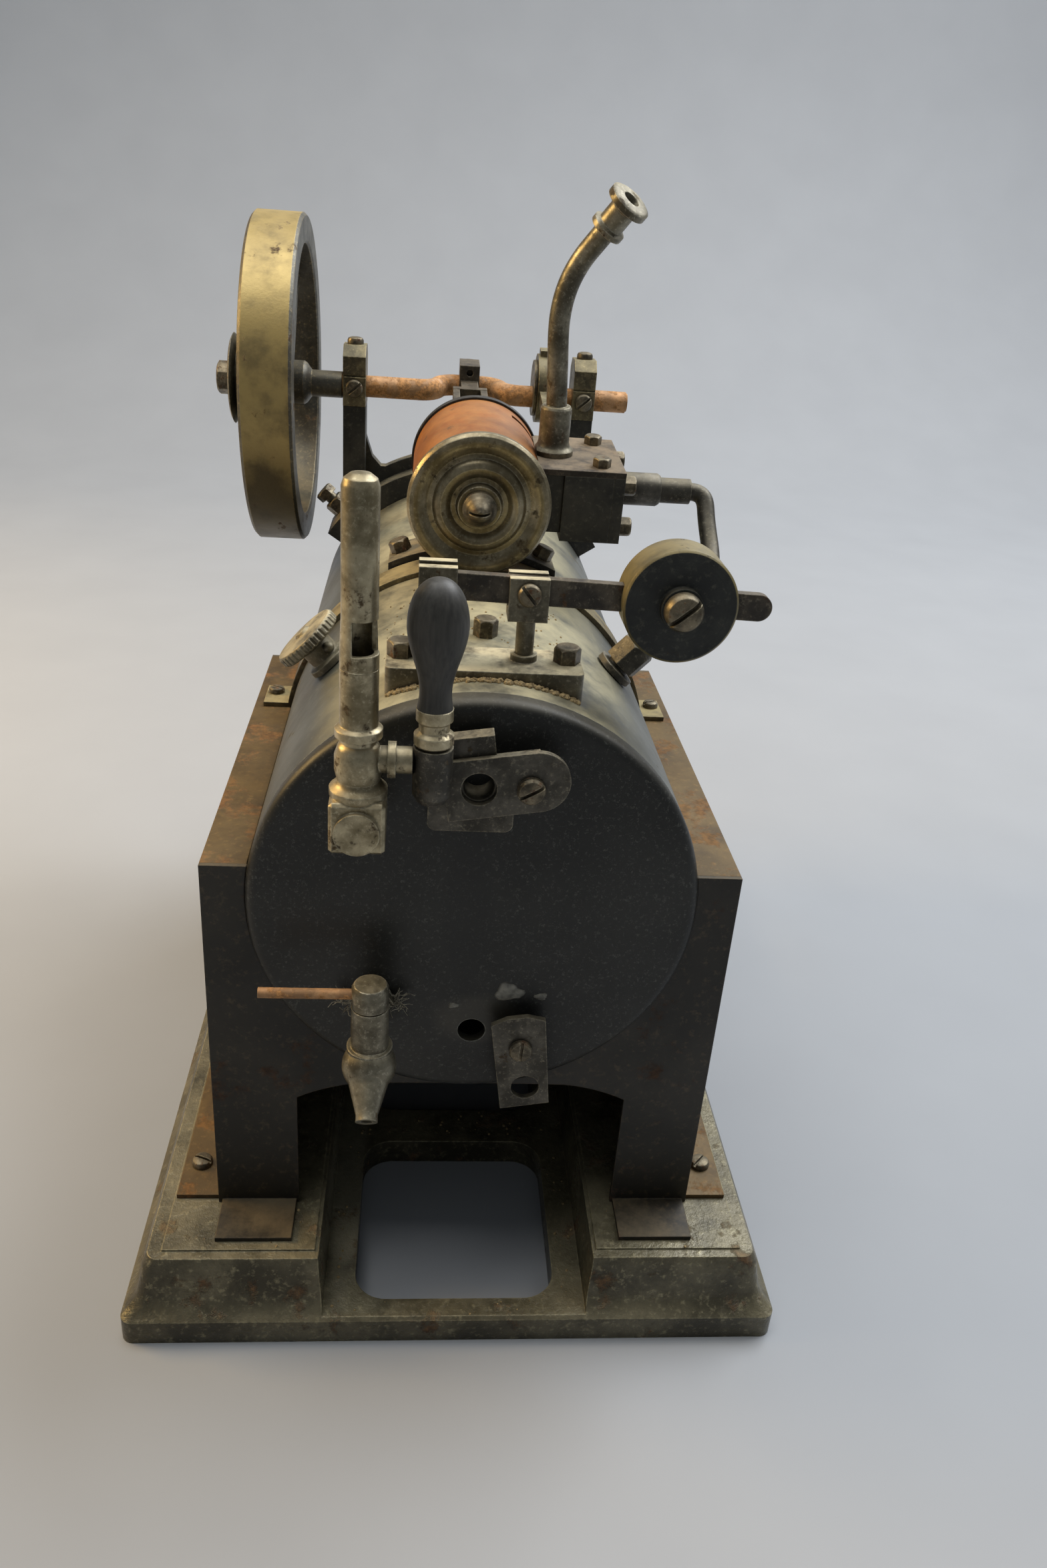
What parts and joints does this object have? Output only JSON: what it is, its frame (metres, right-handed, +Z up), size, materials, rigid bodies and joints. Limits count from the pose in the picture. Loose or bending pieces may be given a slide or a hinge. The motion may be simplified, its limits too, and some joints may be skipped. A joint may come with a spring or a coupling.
{
  "type": "model steam engine",
  "caption": "Model overtype steam engine: horizontal boiler on a cast base with a slide-valve cylinder, bent crank, spoked flywheel, lever safety valve, whistle and drain cock.",
  "frame": {"origin": "middle of the underside of the base", "axes": "X across the base to the right as seen from the firebox end, Y from the firebox end to the crank end along the boiler, Z up"},
  "size_m": [0.1647, 0.2776, 0.2582],
  "materials": {
    "base_iron": "matt cast iron, rust-speckled",
    "firebox_sheet": "sheet steel, thin black paint gone to rust",
    "boiler_shell": "dark grey paint, dusty",
    "engine_iron": "black painted casting",
    "flywheel_iron": "turned rim, brown tarnish",
    "rusty_steel": "rusted bright steel",
    "steel_fasteners": "tarnished steel",
    "nickel_brass": "worn nickel over brass",
    "brass": "tarnished brass",
    "red_lagging": "orange-red enamel",
    "black_ring": "black paint",
    "ebonised_wood": "ebonised, satin",
    "weight_iron": "blued face, turned rim"
  },
  "bodies": {
    "engine": {"base_plate": "base_iron", "firebox_front_plate": "firebox_sheet", "firebox_rear_plate": "firebox_sheet", "firebox_sides": "firebox_sheet", "boiler_barrel": "boiler_shell", "boiler_front_head": "boiler_shell", "boiler_rear_head": "boiler_shell", "boiler_strap": "firebox_sheet", "rear_support": "engine_iron", "engine_frame": "engine_iron", "bearing_blocks": "nickel_brass", "cylinder_block": "engine_iron", "cylinder_lagging": "red_lagging", "lagging_ring": "black_ring", "front_cover": "nickel_brass", "front_cover_nut": "steel_fasteners", "rear_cover": "nickel_brass", "valve_chest": "engine_iron", "gland_nuts": "brass", "chest_side_cover": "engine_iron", "chest_top_plate": "engine_iron", "chest_studs": "steel_fasteners", "steam_inlet": "nickel_brass", "steam_pipe": "nickel_brass", "boiler_union": "nickel_brass", "exhaust_pipe": "nickel_brass", "exhaust_nozzle": "nickel_brass", "safety_valve_block": "nickel_brass", "hex_nuts": "steel_fasteners", "filler_neck": "nickel_brass", "whistle_body": "nickel_brass", "whistle_bell": "nickel_brass", "whistle_valve_body": "nickel_brass", "gauge_rear_block": "nickel_brass", "gauge_front_plate": "nickel_brass", "slotted_screws": "steel_fasteners", "drain_cock_body": "nickel_brass"},
    "crank": {"crankshaft": "rusty_steel", "flywheel": "flywheel_iron", "belt_pulley": "nickel_brass", "shaft_nut": "steel_fasteners", "eccentric_sheave": "steel_fasteners"},
    "con_rod": {"connecting_rod": "steel_fasteners", "big_end_cap": "steel_fasteners"},
    "eccentric": {"eccentric_strap": "nickel_brass"},
    "piston_group": {"piston": "brass", "piston_rod": "steel_fasteners"},
    "valve_group": {"valve_spindle": "rusty_steel", "slide_valve": "brass"},
    "lever": {"safety_lever": "steel_fasteners"},
    "stem": {"valve_stem": "nickel_brass", "fork_screw": "steel_fasteners"},
    "weight": {"lever_weight": "weight_iron", "weight_screw": "steel_fasteners"},
    "cap": {"filler_cap": "nickel_brass"},
    "handle": {"handle_ferrule": "nickel_brass", "whistle_handle": "ebonised_wood"},
    "gauge_bracket": {"lower_gauge_bracket": "nickel_brass"},
    "drain_plug": {"drain_cock_plug": "nickel_brass", "drain_cock_rod": "rusty_steel"}
  },
  "joints": [
    {"name": "crank_spin", "type": "hinge", "parent": "engine", "child": "crank", "pos_m": [0, 0.0921, 0.193], "axis": [1, 0, 0], "continuous": true},
    {"name": "rod_pin", "type": "hinge", "parent": "crank", "child": "con_rod", "pos_m": [0, 0.10206, 0.19387], "axis": [1, 0, 0], "continuous": true},
    {"name": "eccentric_turn", "type": "hinge", "parent": "crank", "child": "eccentric", "pos_m": [0.025, 0.09184, 0.19599], "axis": [1, 0, 0], "continuous": true},
    {"name": "piston_slide", "type": "slide", "parent": "engine", "child": "piston_group", "axis": [0, -0.9962, -0.0872], "range_m": [0, 0.02]},
    {"name": "valve_slide", "type": "slide", "parent": "engine", "child": "valve_group", "axis": [0, -0.9962, -0.0872], "range_m": [-0.003, 0.003]},
    {"name": "lever_lift", "type": "hinge", "parent": "engine", "child": "lever", "pos_m": [-0.0106, -0.0884, 0.18], "axis": [0, -1, 0], "range_deg": [0, 5]},
    {"name": "stem_lift", "type": "slide", "parent": "engine", "child": "stem", "axis": [0, 0, 1], "range_m": [0, 0.00168]},
    {"name": "weight_slide", "type": "slide", "parent": "lever", "child": "weight", "axis": [0.9997, 0, -0.0262], "range_m": [-0.01, 0.006]},
    {"name": "filler_cap_turn", "type": "hinge", "parent": "engine", "child": "cap", "pos_m": [-0.03536, -0.0519, 0.14766], "axis": [-0.7071, 0, 0.7071], "range_deg": [0, 720]},
    {"name": "whistle_valve_turn", "type": "hinge", "parent": "engine", "child": "handle", "pos_m": [-0.0106, -0.1209, 0.16], "axis": [0, 0, 1], "range_deg": [0, 360]},
    {"name": "gauge_bracket_swing", "type": "hinge", "parent": "engine", "child": "gauge_bracket", "pos_m": [0.0122, -0.1127, 0.078], "axis": [0, 1, 0], "range_deg": [0, 107.5]},
    {"name": "drain_handle_turn", "type": "hinge", "parent": "engine", "child": "drain_plug", "pos_m": [-0.022, -0.1209, 0.0985], "axis": [0, 0, 1], "range_deg": [0, 90]}
  ],
  "couplings": [
    {"joint": "rod_pin", "follows": "crank_spin", "ratio": -1},
    {"joint": "eccentric_turn", "follows": "crank_spin", "ratio": -1},
    {"joint": "stem_lift", "follows": "lever_lift", "m_per_rad": 0.0191}
  ]
}
